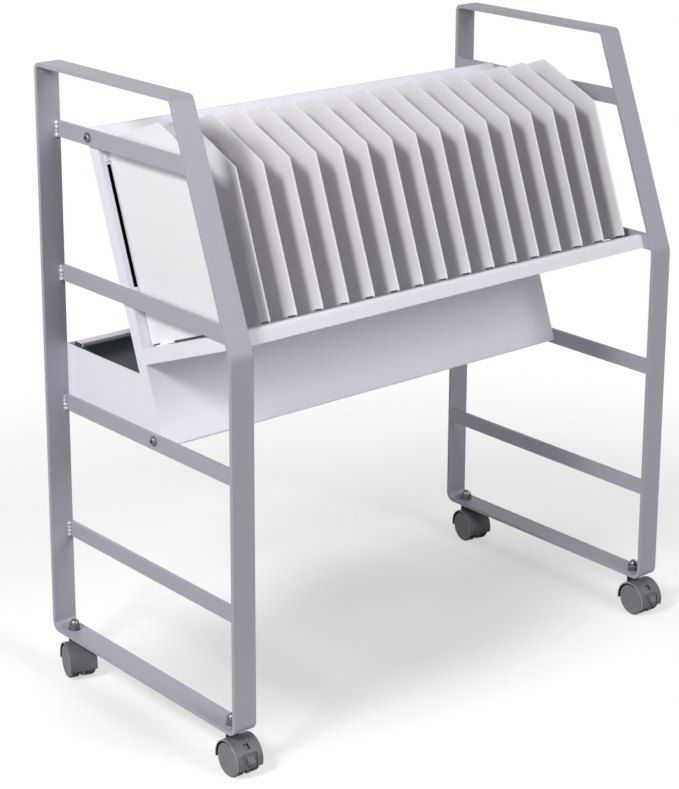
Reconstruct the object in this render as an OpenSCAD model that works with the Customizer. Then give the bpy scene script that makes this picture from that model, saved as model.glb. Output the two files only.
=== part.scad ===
// Laptop charging cart: two bent flat-bar side loops on twin-wheel castors carry a slanted
// sheet-metal rack with divider plates, a closed cable channel behind it and an open trough.
// X runs along the cart, -Y is the side that the devices go in from, +Z is up.

/* [Side loops] */
// Length of the cart over the outer edges of its side loops
cart_l = 730; // [690:1:800]
// Depth of a side loop over its posts
loop_d = 386; // [370:1:430]
// Height of the handles above the floor
cart_h = 800; // [780:1:860]
// Width of the flat bar that a loop is bent from
bar_w = 32; // [28:1:38]
// Thickness of the flat bar
bar_t = 5; // [4:0.5:6]
// Depth of the level handle on top of a loop
handle_d = 279; // [260:1:300]
// Drop from the handle to the bend from which a front post leans back
knee_drop = 281; // [279:1:295]
// Outer radius of the bends beside the handle
handle_bend_r = 9; // [8:0.5:14]
// Outer radius of the bend at a knee
knee_bend_r = 30; // [15:1:35]
// Outer radius of the bends beside the bottom bar
foot_bend_r = 13; // [8:0.5:16]

/* [Rungs] */
// Height of a rung's flat bar
rung_h = 20; // [16:1:24]
// Thickness of a rung's flat bar
rung_t = 5; // [4:0.5:6]
// Drop from the handle to the middle of the first rung, which the rack hangs from
rung_1_drop = 85; // [82:1:90]
// Drop from the handle to the middle of the second rung
rung_2_drop = 268; // [240:1:270]
// Drop from the handle to the middle of the third rung, which holds the foot of the rack
rung_3_drop = 439; // [436:1:440]
// Height of the middle of the fourth rung above the floor
rung_4_z = 189; // [150:1:230]
// Leg of the weld fillets at the ends of a rung
weld_leg = 3.5; // [2:0.5:5]

/* [Rack] */
// Angle by which the rack leans back
tilt = 20; // [18:0.5:21]
// Distance of the lower front edge of the back panel behind the middle of the loops
rack_y = 16.7; // [14:0.1:20]
// Drop from the handle to the lower front edge of the back panel
rack_drop = 346.8; // [345:0.1:350]
// Thickness of the rack's sheets
sheet_t = 1.5; // [1:0.1:2]
// Inside radius of the rack's sheet bends
sheet_bend_r = 1.2; // [0.8:0.1:2]
// Height of the back panel along its slope
panel_h = 293; // [288:1:300]
// Depth of the closed cable channel behind the back panel
channel_d = 18; // [17:0.5:22]
// Depth of the shelf in front of the back panel
shelf_d = 204; // [195:1:210]
// Height of the shelf's flanges
shelf_h = 19; // [15:1:24]
// Inside radius of the bend along the shelf's front edge
shelf_bend_r = 4; // [1:0.5:6]
// Drop from the handle to the trough's floor
trough_drop = 444.5; // [444:0.1:446]
// Height of the trough's rear and side walls
trough_h = 82.5; // [70:0.5:90]
// Distance of the trough's rear wall behind the middle of the loops
trough_y = 191; // [175:1:192]
// Depth of the flange along the top of the trough's rear wall
trough_flange_d = 16; // [10:1:24]
// Drop of the lip on that flange
trough_lip_h = 5; // [4:0.5:10]
// Length that is notched out of that flange at each end
trough_notch = 13; // [11:1:20]

/* [Dividers] */
// Distance from an end plate to the middle of the divider beside it
end_bay = 13.5; // [11:0.5:20]
// Thickness of a divider plate
divider_t = 2.5; // [2:0.1:3]
// Distance of a divider's front edge from the back panel
divider_d = 189; // [175:1:195]
// Height of a divider's front edge above the shelf's underside
divider_nose_v = 203; // [150:1:220]
// Distance of a divider's upper corner from the back panel
divider_peak_u = 114; // [90:1:130]
// Height of a divider's top edge above the shelf's underside
divider_top_v = 275; // [268:1:285]
// Radius of a divider's front and upper corners
divider_r = 6; // [3:0.5:10]
// Width of the ears that a divider is spot-welded by
ear_w = 7; // [5:0.5:8]
// Thickness of those ears, which hold the plate off the sheets
ear_t = 1.5; // [1:0.1:2]
// Length of the ear on the shelf
foot_ear_l = 28; // [20:1:40]
// Height of the ear on the back panel
back_ear_h = 9; // [6:0.5:11]
// Width of the slots beside the dividers
slot_w = 6; // [4:0.5:8]
// Height of the lower end of the slots in the back panel
slot_low_v = 94; // [80:1:110]
// Height of the upper end of the slots in the back panel
slot_high_v = 245; // [220:1:250]
// Length of the long slots in the shelf
shelf_slot_l = 74; // [50:1:90]
// Length of the short slots in the shelf
shelf_slot_s = 15; // [8:1:18]

/* [Castors] */
// Diameter of a wheel
wheel_d = 44; // [42:0.5:46]
// Width over a castor's hood
hood_w = 36; // [35:0.5:40]
// Thickness of the hood's shell
hood_t = 1.5; // [1.2:0.1:2]
// Gap between a wheel's tread and the hood
hood_gap = 1; // [0.6:0.1:1.5]
// Height of the neck between the hood's crown and the bottom bar
neck_h = 6.5; // [5:0.5:9]
// Distance of the wheels' axle ahead of the stem
trail = 14.5; // [13:0.5:16]
// Distance of a stem from the outer edge of the loop
stem_in = 16; // [15:0.5:17]
// Distance of a stem from the front or rear of the loop
stem_back = 26; // [24:0.5:32]
// Diameter of the stem's thread
stem_d = 8; // [7:0.5:9]
// Diameter of the axle
axle_d = 6; // [5:0.5:7]
// Width of a brake lever
lever_w = 18.5; // [14:0.5:22]
// Width of the pedal that stands out from the middle of the lever
pedal_w = 9; // [7:0.5:12]
// Height by which the pedal's edge stands proud of the hood
pedal_h = 5; // [3:0.5:6]
// Radius of the barrels round the lever's pin
barrel_r = 1.4; // [1.3:0.1:1.6]
// Width of the window in a brake hood
window_w = 6.5; // [4:0.5:8]
// Angle that the front castors are swivelled by
swivel_front = -4; // [-10:1:0]
// Angle that the rear left castor is swivelled by
swivel_rear_left = -17; // [-20:1:-12]
// Angle that the rear right castor is swivelled by
swivel_rear_right = -11; // [-16:1:-8]

/* [Fasteners] */
// Diameter of the bolts that hold the rack
bolt_d = 6; // [5:0.5:7]
// Distance of the upper bolts behind the middle of the loops
high_bolt_y = 121; // [118:1:124]
// Distance of the lower bolts behind the middle of the loops
low_bolt_y = -3; // [-6:1:0]
// Height of the lower bolts above the middle of their rung
low_bolt_rise = 2; // [0:0.5:3]
// Width over the flats of the bolts' nuts
bolt_nut_af = 10; // [9:0.5:10.5]
// Width over the flats of the dome nuts
dome_nut_af = 13; // [12:0.5:14]
// Diameter of the washers under the dome nuts
washer_d = 16; // [15:0.5:18]
// Thickness of those washers
washer_t = 1.6; // [1:0.1:2]

/* [Power strip] */
// Length of the power strip's housing
strip_l = 560; // [540:1:600]
// Depth of the housing
strip_d = 54; // [52:1:60]
// Height of the housing
strip_h = 34; // [30:1:38]
// Distance of the housing's middle behind the middle of the loops
strip_y = 92; // [80:1:110]
// Distance from one outlet to the next along the housing
outlet_pitch = 58; // [50:1:60]
// Width of an outlet's face along the housing
outlet_w = 30; // [28:1:34]
// Depth of an outlet's face across the housing
outlet_d = 20; // [18:1:22]

/* [Hidden] */
$fn = 64;

// Gap that a drilled hole leaves around its bolt
hole_gap = 0.3;
// Running clearance of a shaft in its bore
run_gap = 0.05;
// Gap between faces that move past each other
face_gap = 0.4;
// Segments of a rounded corner in a sheet's outline
arc_n = 5;
// Segments of a bend of the flat bar
bend_n = 8;
// Extra length of a cutting tool past the face that it cuts
cut = 1;

divider_count = 17;
bar_grey = [0.66, 0.66, 0.70];
rack_white = [0.88, 0.88, 0.91];
hood_grey = [0.45, 0.45, 0.47];
wheel_grey = [0.50, 0.50, 0.52];
chrome = [0.80, 0.80, 0.82];
strip_black = [0.13, 0.13, 0.14];
outlet_black = [0.20, 0.20, 0.21];

// Castor sizes that follow from the wheel and its hood
wheel_r = wheel_d / 2;
hood_in_r = wheel_r + hood_gap;
hood_r = hood_in_r + hood_t;
web_t = 5;
wheel_in_x = web_t / 2 + 1;
wheel_out_x = hood_w / 2 - 0.8;
wheel_disc_t = 2;
axle_half = wheel_out_x - wheel_disc_t - face_gap;
boss_r = stem_d / 2 + 4;
collar_r = stem_d / 2 + 2.5;
collar_t = 1.5;
bar_z = wheel_r + hood_r + neck_h;
boss_top = bar_z - collar_t - face_gap;
socket_z = wheel_r + 6;

// Angles about the axle, from the rear over the crown: ends of the hood, window and brake lever
hood_rear_a = -11;
hood_front_a = 196;
window_a = [121, 139];
notch_a = 151.5;
pivot_a = 156;
pedal_a = 174;
pedal_low_a = 184;
lever_slot_a = [188, 192];
lever_low_a = 198;

// Radii of the brake lever about the axle and about its own pin
lever_in_r = wheel_r + 0.7 * hood_gap;
lever_t = 1;
pedal_r = hood_r + pedal_h;
pivot_r = wheel_r + hood_gap / 2 + barrel_r;
pivot_pin_r = barrel_r - 0.65;
notch_half = lever_w / 2 + face_gap;
pin_half = notch_half + 3;

// Places of the posts, stems and rack plates in the section across the cart
post_y = loop_d / 2;
inner_x = cart_l / 2 - bar_w;
stem_x = cart_l / 2 - stem_in;
stem_y = post_y - stem_back;
knee_z = cart_h - knee_drop;
rack_z = cart_h - rack_drop;
trough_z = cart_h - trough_drop;
lean = atan((loop_d - handle_d) / knee_drop);
plate_in_x = inner_x - sheet_t;
first_divider_x = end_bay - plate_in_x;
bay_pitch = -2 * first_divider_x / (divider_count - 1);
rung_z = [cart_h - rung_1_drop, cart_h - rung_2_drop, cart_h - rung_3_drop, rung_4_z];
bolt_places = [[high_bolt_y, rung_z[0]], [low_bolt_y, rung_z[2] + low_bolt_rise]];
foot_ear_u = ear_t + shelf_slot_s + 3;

// Moves the cart so that the middle of its bounding box stands over the origin
box_left = -stem_x - hood_w / 2 * cos(swivel_rear_left) + (trail + hood_r) * sin(swivel_rear_left);
box_right = stem_x + hood_w / 2 * cos(swivel_rear_right) + (trail - hood_r) * sin(swivel_rear_right);
box_front = -stem_y + (pedal_r * cos(pedal_a) - trail) * cos(swivel_front) + pedal_w / 2 * sin(swivel_front);
shift_x = -(box_left + box_right) / 2;
shift_y = -(box_front + post_y) / 2;

// Plane vectors
function unit(v) = v / norm(v);
function left_of(v) = [-v.y, v.x];
function spin(v, a) = [v.x * cos(a) - v.y * sin(a), v.x * sin(a) + v.y * cos(a)];
function turn(a, b) = atan2(a.x * b.y - a.y * b.x, a.x * b.x + a.y * b.y);

// Arc of radius r round the centre of the bend that has radius bend_r at corner p
function bend_arc(p, a, b, bend_r, r, n = arc_n) =
    let (t = turn(a, b), s = sign(t), c = p - a * bend_r * tan(abs(t) / 2) + left_of(a) * s * bend_r)
    [for (k = [0:n]) c - spin(left_of(a) * s * r, t * k / n)];

// Closed outline whose corners are rounded by the radii given
function rounded(points, radii, n = arc_n) =
    [for (i = [0:len(points) - 1])
        let (p = points[i], a = way_in(points, i), b = way_in(points, i + 1))
        each radii[i] == 0 ? [p] : bend_arc(p, a, b, radii[i], radii[i], n)];

// Direction in which a closed outline reaches its corner i
function way_in(points, i) =
    let (n = len(points)) unit(points[i % n] - points[(i + n - 1) % n]);

// Corners of a closed counterclockwise outline moved inward by the distance d
function inset(points, d) =
    [for (i = [0:len(points) - 1])
        let (a = way_in(points, i), b = way_in(points, i + 1))
        points[i] + (left_of(a) + left_of(b)) * d / (1 + a * b)];

// Outline of a bent sheet: the path is its right-hand face, the sheet lies to the left of it and
// each bend has its own inside radius
function bent_sheet(path, t, radii) =
    let (m = len(path) - 1, way = [for (i = [0:m - 1]) unit(path[i + 1] - path[i])])
    concat(
        [path[0]],
        [for (i = [1:1:m - 1])
            let (outer = radii[i - 1] + (turn(way[i - 1], way[i]) > 0 ? t : 0))
            each bend_arc(path[i], way[i - 1], way[i], outer, outer)],
        [path[m], path[m] + left_of(way[m - 1]) * t],
        [for (i = [m - 1:-1:1])
            let (inside = turn(way[i - 1], way[i]) > 0, r = radii[i - 1],
                arc = bend_arc(path[i], way[i - 1], way[i], inside ? r + t : r, inside ? r : r + t))
            each [for (k = [arc_n:-1:0]) arc[k]]],
        [path[0] + left_of(way[0]) * t]);

// Point of the section across the cart that lies u in front of the back panel and v up its slope
function rack_point(u, v) =
    [rack_y - u * cos(tilt) + v * sin(tilt), rack_z + u * sin(tilt) + v * cos(tilt)];
// Height up the panel's slope of the point at height z on the plane that lies u in front of it
function slope_v(u, z) = (z - rack_z - u * sin(tilt)) / cos(tilt);
// Rear face of a front post at height z
function front_inner(z) =
    max(-post_y + bar_t, -post_y + bar_t / cos(lean) + (z - knee_z) * tan(lean));

module placed() {
    translate([shift_x, shift_y, 0]) children();
}

// Extrudes a section across the cart, drawn as [Y, Z], from x over the width w
module section(x, w) {
    translate([x, 0, 0]) rotate([90, 0, 90]) linear_extrude(w) children();
}

// Draws in the rack's leaning frame: Y runs back from the panel's face, Z up its slope
module in_rack() {
    translate([0, rack_y, rack_z]) rotate([-tilt, 0, 0]) children();
}

// Extrudes a section of the rack, drawn as [distance in front of the panel, height up it]
module rack_section(x, w) {
    in_rack() section(x, w) mirror([1, 0]) children();
}

module on_side(side) {
    if (side < 0) mirror([1, 0, 0]) children();
    else children();
}

// One side loop: flat bar bent round five corners
module loop(side) {
    corners = [[post_y, bar_z], [post_y, cart_h], [post_y - handle_d, cart_h],
        [-post_y, knee_z], [-post_y, bar_z]];
    radii = [foot_bend_r, handle_bend_r, handle_bend_r, knee_bend_r, foot_bend_r];
    color(bar_grey) placed() on_side(side) difference() {
        section(inner_x, bar_w) difference() {
            polygon(rounded(corners, radii, bend_n));
            polygon(rounded(inset(corners, bar_t), [for (r = radii) r - bar_t], bend_n));
        }
        for (y = [-stem_y, stem_y])
            translate([stem_x, y, bar_z - cut]) cylinder(h = bar_t + 2 * cut, d = stem_d + 2 * hole_gap);
    }
}

// One rung with the weld fillets on its outer face, and its bolt hole where the rack is held
module rung(side, i) {
    low = rung_z[i] - rung_h / 2;
    high = rung_z[i] + rung_h / 2;
    rear = post_y - bar_t;
    lean_here = rung_z[i] > knee_z ? lean : 0;
    color(bar_grey) placed() on_side(side) difference() {
        union() {
            section(inner_x, rung_t) polygon([[rear, low], [rear, high],
                [front_inner(high), high], [front_inner(low), low]]);
            translate([inner_x + rung_t, rear, low]) rotate(-90)
                rotate_extrude(angle = 90) square([weld_leg, rung_h]);
            translate([inner_x + rung_t, front_inner(low), low]) rotate([-lean_here, 0, 0])
                rotate_extrude(angle = 90) square([weld_leg, rung_h / cos(lean_here)]);
        }
        for (b = bolt_places)
            translate([inner_x - cut, b[0], b[1]]) rotate([0, 90, 0])
                cylinder(h = rung_t + 2 * cut, d = bolt_d + 2 * hole_gap);
    }
}

// End plate: arm beside the channel, then side wall of the trough, with an ear at its rear corner
module end_plate(side) {
    wall_top = trough_z + trough_h;
    outline = rounded([
        rack_point(-channel_d, panel_h), rack_point(-channel_d, slope_v(-channel_d, wall_top)),
        [trough_y, wall_top], [trough_y, trough_z], rack_point(0, slope_v(0, trough_z)),
        rack_point(0, panel_h)], [3, 0, 2, 2.7, 2.7, 3]);
    color(rack_white) placed() on_side(side) difference() {
        union() {
            section(plate_in_x, sheet_t) polygon(outline);
            translate([plate_in_x - trough_notch + 3, trough_y - 2 * sheet_t, wall_top - 10])
                cube([trough_notch - 3, sheet_t, 10]);
        }
        for (b = bolt_places)
            translate([plate_in_x - cut, b[0], b[1]]) rotate([0, 90, 0])
                cylinder(h = sheet_t + 2 * cut, d = bolt_d + 2 * hole_gap);
    }
}

// Middle of divider i along the cart
function divider_x(i) = first_divider_x + i * bay_pitch;

// Back panel with its folded top and one cable slot beside each divider
module back_panel() {
    color(rack_white) placed() difference() {
        rack_section(-plate_in_x, 2 * plate_in_x)
            polygon(bent_sheet([[0, 0], [0, panel_h], [-channel_d, panel_h]], sheet_t, [sheet_bend_r]));
        in_rack() for (i = [0:divider_count - 1])
            translate([divider_x(i) - divider_t / 2 - slot_w, -cut, slot_low_v])
                cube([slot_w, sheet_t + 2 * cut, slot_high_v - slot_low_v]);
    }
}

// Cover that closes the cable channel from behind, open to the trough at its foot
module rear_cover() {
    color(rack_white) placed()
        rack_section(-plate_in_x, 2 * plate_in_x)
            translate([-channel_d, 0]) square([sheet_t, panel_h - sheet_t]);
}

// Shelf: floor with front and rear flanges, closed by an end flange on each side
module shelf() {
    floor_v = shelf_h - sheet_t;
    corners = [[shelf_d, 0], [shelf_d, shelf_h], [0, shelf_h], [0, 0]];
    color(rack_white) placed() {
        difference() {
            union() {
                rack_section(-plate_in_x, 2 * plate_in_x)
                    polygon(bent_sheet(corners, sheet_t, [shelf_bend_r, sheet_bend_r]));
                for (x = [-inner_x, plate_in_x])
                    rack_section(x, sheet_t)
                        polygon(rounded(corners, [0, shelf_bend_r + sheet_t, sheet_bend_r + sheet_t, 0]));
            }
            in_rack() for (i = [0:divider_count - 1]) {
                x = divider_x(i) - divider_t / 2 - slot_w;
                translate([x, -ear_t - 1 - shelf_slot_s, floor_v - cut])
                    cube([slot_w, shelf_slot_s, sheet_t + 2 * cut]);
                translate([x, -foot_ear_u - foot_ear_l - shelf_slot_l, floor_v - cut])
                    cube([slot_w, shelf_slot_l, sheet_t + 2 * cut]);
            }
        }
    }
}

// Trough: front wall under the back panel, floor, rear wall, notched flange and lip
module trough_pan() {
    wall_top = trough_z + trough_h;
    flange_y = trough_y - trough_flange_d;
    color(rack_white) placed() difference() {
        section(-plate_in_x, 2 * plate_in_x)
            polygon(bent_sheet([rack_point(0, 0), rack_point(0, slope_v(0, trough_z)),
                [trough_y, trough_z], [trough_y, wall_top], [flange_y, wall_top],
                [flange_y, wall_top - trough_lip_h]], sheet_t, [for (i = [1:4]) sheet_bend_r]));
        for (x = [-plate_in_x - cut, plate_in_x - trough_notch])
            translate([x, flange_y - cut, wall_top - 12])
                cube([trough_notch + cut, trough_flange_d + cut - sheet_t, 12 + cut]);
    }
}

// Divider plate with one ear on the shelf and one on the back panel
module divider(i) {
    foot = shelf_h + ear_t;
    outline = rounded([[ear_t, foot], [divider_d, foot], [divider_d, divider_nose_v],
        [divider_peak_u, divider_top_v], [ear_t, divider_top_v]],
        [4, divider_r / 2, divider_r, divider_r, 3]);
    ear_x = divider_x(i) - divider_t / 2 - ear_w;
    back_ear_v = slot_high_v + 4;
    color(rack_white) placed() {
        rack_section(divider_x(i) - divider_t / 2, divider_t) {
            polygon(outline);
            translate([foot_ear_u, shelf_h]) square([foot_ear_l, 2 * ear_t]);
            translate([0, back_ear_v]) square([2 * ear_t, back_ear_h]);
        }
        rack_section(ear_x, ear_w + divider_t) {
            translate([foot_ear_u, shelf_h]) square([foot_ear_l, ear_t]);
            translate([0, back_ear_v]) square([ear_t, back_ear_h]);
        }
    }
}

// Flanged button-head bolt along +X with the underside of its head at the origin
module rack_bolt() {
    r = bolt_d / 2;
    difference() {
        rotate([0, 90, 0]) {
            rotate_extrude() polygon([[0, 0], [r + 3.5, 0], [r + 3.5, 0.9], [r + 2.4, 1.3],
                [r + 2, 2.3], [r + 1, 3.2], [r - 0.6, 3.6], [0, 3.6]]);
            translate([0, 0, -rung_t - sheet_t - 6]) cylinder(h = rung_t + sheet_t + 6.5, r = r);
        }
        translate([1.6, 0, 0]) rotate([0, 90, 0]) cylinder(h = 4, r = 2.3, $fn = 6);
    }
}

module rack_bolts() {
    color(chrome) placed() for (side = [-1, 1], b = bolt_places)
        on_side(side) translate([inner_x + rung_t, b[0], b[1]]) rack_bolt();
}

module rack_nuts() {
    color(chrome) placed() for (side = [-1, 1], b = bolt_places)
        on_side(side) translate([plate_in_x - 5, b[0], b[1]]) rotate([0, 90, 0]) difference() {
            rotate(30) hex_body(bolt_nut_af, 5);
            translate([0, 0, -cut]) cylinder(h = 5 + 2 * cut, r = bolt_d / 2 + run_gap);
        }
}

// Hexagon body with chamfered corners, af over its flats and h high
module hex_body(af, h) {
    r = af / 2 / cos(30);
    intersection() {
        cylinder(h = h, r = r, $fn = 6);
        rotate_extrude() polygon([[0, 0], [r - 0.5, 0], [r, 0.5], [r, h - 0.5], [r - 0.5, h], [0, h]]);
    }
}

// Places something at each of the four stems, upright and unturned
module at_stems() {
    for (x = [-stem_x, stem_x], y = [-stem_y, stem_y]) translate([x, y, 0]) children();
}

module castor_stems() {
    color(chrome) placed() at_stems() {
        translate([0, 0, socket_z + 2]) cylinder(h = bar_z + bar_t + washer_t + 5 - socket_z, d = stem_d);
        translate([0, 0, bar_z - collar_t]) cylinder(h = collar_t, r = collar_r);
    }
}

module stem_washers() {
    color(chrome) placed() at_stems() translate([0, 0, bar_z + bar_t]) difference() {
        cylinder(h = washer_t, d = washer_d);
        translate([0, 0, -cut]) cylinder(h = washer_t + 2 * cut, d = stem_d + 2 * run_gap);
    }
}

module dome_nuts() {
    hex_h = 6.5;
    color(chrome) placed() at_stems() translate([0, 0, bar_z + bar_t + washer_t]) difference() {
        union() {
            hex_body(dome_nut_af, hex_h);
            translate([0, 0, hex_h]) intersection() {
                sphere(r = dome_nut_af / 2 - 0.6);
                cylinder(h = dome_nut_af, d = 2 * dome_nut_af);
            }
        }
        translate([0, 0, -cut]) cylinder(h = hex_h + 2 + cut, d = stem_d + 2 * run_gap);
    }
}

// Places of the castors: side along X, side along Y and swivel angle
castor_fl = [-1, -1, swivel_front];
castor_fr = [1, -1, swivel_front];
castor_rl = [-1, 1, swivel_rear_left];
castor_rr = [1, 1, swivel_rear_right];

// Draws a castor's piece about its stem on the floor, with the hood's front towards -Y
module at_castor(c) {
    placed() translate([c[0] * stem_x, c[1] * stem_y, 0]) rotate(c[2]) children();
}

// Revolves about the axle a section drawn as [radius, X], from angle a0 up at the rear to a1
module about_axle(a0 = 0, a1 = 360) {
    translate([0, -trail, wheel_r]) rotate([90, 0, 90]) rotate(a0)
        rotate_extrude(angle = a1 - a0) children();
}

module hood_shell(end_a) {
    about_axle(hood_rear_a, end_a)
        translate([hood_in_r, -hood_w / 2]) square([hood_t, hood_w]);
}

// Middle web of a hood with the boss round the stem, hollowed for both wheels
module hood_core() {
    floor_gap = 7;
    section(-web_t / 2, web_t) intersection() {
        translate([-trail, wheel_r]) circle(r = hood_in_r + 0.5);
        translate([-trail - hood_r, floor_gap]) square([2 * hood_r, 2 * hood_r]);
    }
    difference() {
        translate([0, 0, socket_z - 4]) cylinder(h = boss_top - socket_z + 4, r = boss_r);
        for (side = [-1, 1])
            on_side(side) about_axle() translate([0, web_t / 2]) square([hood_in_r, hood_w]);
    }
    about_axle() translate([0, -wheel_in_x + face_gap])
        square([axle_d / 2 + 2, 2 * (wheel_in_x - face_gap)]);
}

// Cuts the bore for the axle and the socket for the stem
module bored() {
    difference() {
        children();
        about_axle() translate([0, -hood_w]) square([axle_d / 2 + run_gap / 2, 2 * hood_w]);
        translate([0, 0, socket_z]) cylinder(h = bar_z, d = stem_d + 2 * run_gap);
    }
}

module hood(c) {
    color(hood_grey) at_castor(c) bored() union() {
        hood_shell(hood_front_a);
        hood_core();
    }
}

// Hood with barrels for the lever's pin, a window and a notch in which the brake lever lies
module brake_hood(c) {
    color(hood_grey) at_castor(c) bored() difference() {
        union() {
            hood_shell(hood_front_a);
            at_pivot() cylinder(h = 2 * pin_half, r = barrel_r, center = true);
            hood_core();
        }
        about_axle(window_a[0], window_a[1])
            translate([hood_in_r - cut, -window_w / 2]) square([hood_t + 2 * cut, window_w]);
        about_axle(notch_a, hood_front_a + 10)
            translate([wheel_r + hood_gap / 4, -notch_half]) square([pedal_h, 2 * notch_half]);
        at_pivot() cylinder(h = 2 * pin_half - 2, r = pivot_pin_r + run_gap, center = true);
    }
}

// Draws along +Z what runs along the lever's pin
module at_pivot() {
    translate([0, -trail + pivot_r * cos(pivot_a), wheel_r + pivot_r * sin(pivot_a)])
        rotate([0, 90, 0]) children();
}

// Section of the pedal, wedge-shaped: it leaves the hood's surface at the pin
module pedal_section() {
    translate([-trail, wheel_r]) difference() {
        polygon([for (p = [[wheel_r, pivot_a + 1], [hood_r, pivot_a + 1], [pedal_r, pedal_a],
            [hood_r, pedal_low_a], [wheel_r, pedal_low_a]]) p[0] * [cos(p[1]), sin(p[1])]]);
        circle(r = lever_in_r + lever_t / 2);
    }
}

// Brake lever: curved plate with a pedal, a slot below it and the pin stubs that it tips on
module brake_lever(c) {
    color(hood_grey) at_castor(c) difference() {
        union() {
            about_axle(pivot_a, lever_low_a) translate([lever_in_r, -lever_w / 2])
                square([lever_t, lever_w]);
            section(-pedal_w / 2, pedal_w) pedal_section();
            at_pivot() cylinder(h = lever_w - 1, r = barrel_r, center = true);
            at_pivot() cylinder(h = 2 * pin_half - 3, r = pivot_pin_r, center = true);
        }
        about_axle(lever_slot_a[0], lever_slot_a[1]) translate([lever_in_r - cut, -pedal_w / 2 + 1])
            square([lever_t + 2 * cut, pedal_w - 2]);
    }
}

module axle(c) {
    color(chrome) at_castor(c) about_axle() translate([0, -axle_half]) square([axle_d / 2, 2 * axle_half]);
}

// Wheel: hub with a blind bore, closed outer disc and hollow rim
module wheel(c, side) {
    bore = axle_d / 2 + run_gap;
    hub = bore + 3;
    disc = wheel_out_x - wheel_disc_t;
    rim = wheel_r - 3;
    color(wheel_grey) at_castor(c) on_side(side) about_axle() polygon([
        [0, disc], [bore, disc], [bore, wheel_in_x], [hub, wheel_in_x], [hub, disc - 1],
        [rim, disc - 1], [rim, wheel_in_x + 1], [wheel_r - 0.6, wheel_in_x + 1],
        [wheel_r, wheel_in_x + 1.6], [wheel_r, wheel_out_x - 2.4], [wheel_r - 1.3, wheel_out_x - 0.7],
        [wheel_r - 2, wheel_out_x], [0, wheel_out_x]]);
}

// Power strip on the trough's floor
strip_z = trough_z + sheet_t;
strip_top = strip_z + strip_h;
outlet_depth = 4;
outlet_rows = [-strip_d / 4 + 1, strip_d / 4 - 1];
outlet_columns = [for (i = [0:7]) (i - 3.5) * outlet_pitch];
switch_x = strip_l / 2 - 22;
switch_l = 18;
switch_w = 12;
inlet_w = 30;
inlet_h = 22;
inlet_depth = 18;

module at_outlets() {
    for (x = outlet_columns, y = outlet_rows) translate([x - 8, strip_y + y, strip_top]) children();
}

module power_strip() {
    shell = rounded([[-strip_d / 2, 0], [strip_d / 2, 0], [strip_d / 2, strip_h], [-strip_d / 2, strip_h]],
        [1, 1, 4, 4]);
    color(strip_black) placed() difference() {
        translate([0, strip_y, strip_z]) section(-strip_l / 2, strip_l) polygon(shell);
        at_outlets() translate([-outlet_w / 2, -outlet_d / 2, -outlet_depth])
            cube([outlet_w, outlet_d, outlet_depth + cut]);
        translate([switch_x - switch_l / 2 - face_gap, strip_y - switch_w / 2 - face_gap, strip_top - 12])
            cube([switch_l + 2 * face_gap, switch_w + 2 * face_gap, 12 + cut]);
        translate([switch_x, strip_y, strip_top - 2]) rotate([90, 0, 0])
            cylinder(h = switch_w + 6, r = 1.5 + run_gap, center = true);
        translate([-strip_l / 2 - cut, strip_y - inlet_w / 2 + 2, strip_z + (strip_h - inlet_h) / 2 + 2])
            cube([inlet_depth + cut, inlet_w - 4, inlet_h - 4]);
    }
}

// Outlet faces, each with two blade slots and an earth hole
module outlets() {
    color(outlet_black) placed() at_outlets() difference() {
        translate([-outlet_w / 2, -outlet_d / 2, -outlet_depth])
            cube([outlet_w, outlet_d, outlet_depth + 0.6]);
        for (y = [-3.2, 3.2]) translate([-4, y * 2 - 0.9, -3]) cube([7, 1.8, 5]);
        translate([-10, 0, -3]) cylinder(h = 5, r = 2.4, $fn = 8);
    }
}

// Rocker of the power switch with its pin
module power_switch() {
    color(outlet_black) placed() translate([switch_x, strip_y, strip_top - 2]) {
        translate([0, switch_w / 2, 0]) rotate([90, 0, 0]) linear_extrude(switch_w)
            polygon([[-switch_l / 2 + 0.2, -3], [-switch_l / 2 + 0.8, 4.5], [0, 2.6],
                [switch_l / 2, 2.2], [switch_l / 2, -1], [3, -4], [-3, -4]]);
        rotate([90, 0, 0]) cylinder(h = switch_w + 4, r = 1.5, center = true);
    }
}

// Appliance inlet in the end of the strip: flange, shroud and three blades
module power_inlet() {
    x = -strip_l / 2;
    z = strip_z + strip_h / 2;
    color(outlet_black) placed() translate([x, strip_y, z]) {
        difference() {
            union() {
                section(-2, 2) polygon(rounded([[-inlet_w / 2, -inlet_h / 2], [inlet_w / 2, -inlet_h / 2],
                    [inlet_w / 2, inlet_h / 2], [-inlet_w / 2, inlet_h / 2]], [2, 2, 2, 2]));
                translate([0, -inlet_w / 2 + 2, -inlet_h / 2 + 2])
                    cube([inlet_depth, inlet_w - 4, inlet_h - 4]);
            }
            section(-2 - cut, inlet_depth + cut) polygon([[-11.5, -7.5], [11.5, -7.5], [11.5, 4],
                [8, 7.5], [-8, 7.5], [-11.5, 4]]);
        }
        for (y = [-7, 0, 7])
            translate([4, y - 1, -2]) cube([inlet_depth - 5, 2, 4]);
    }
}

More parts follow.
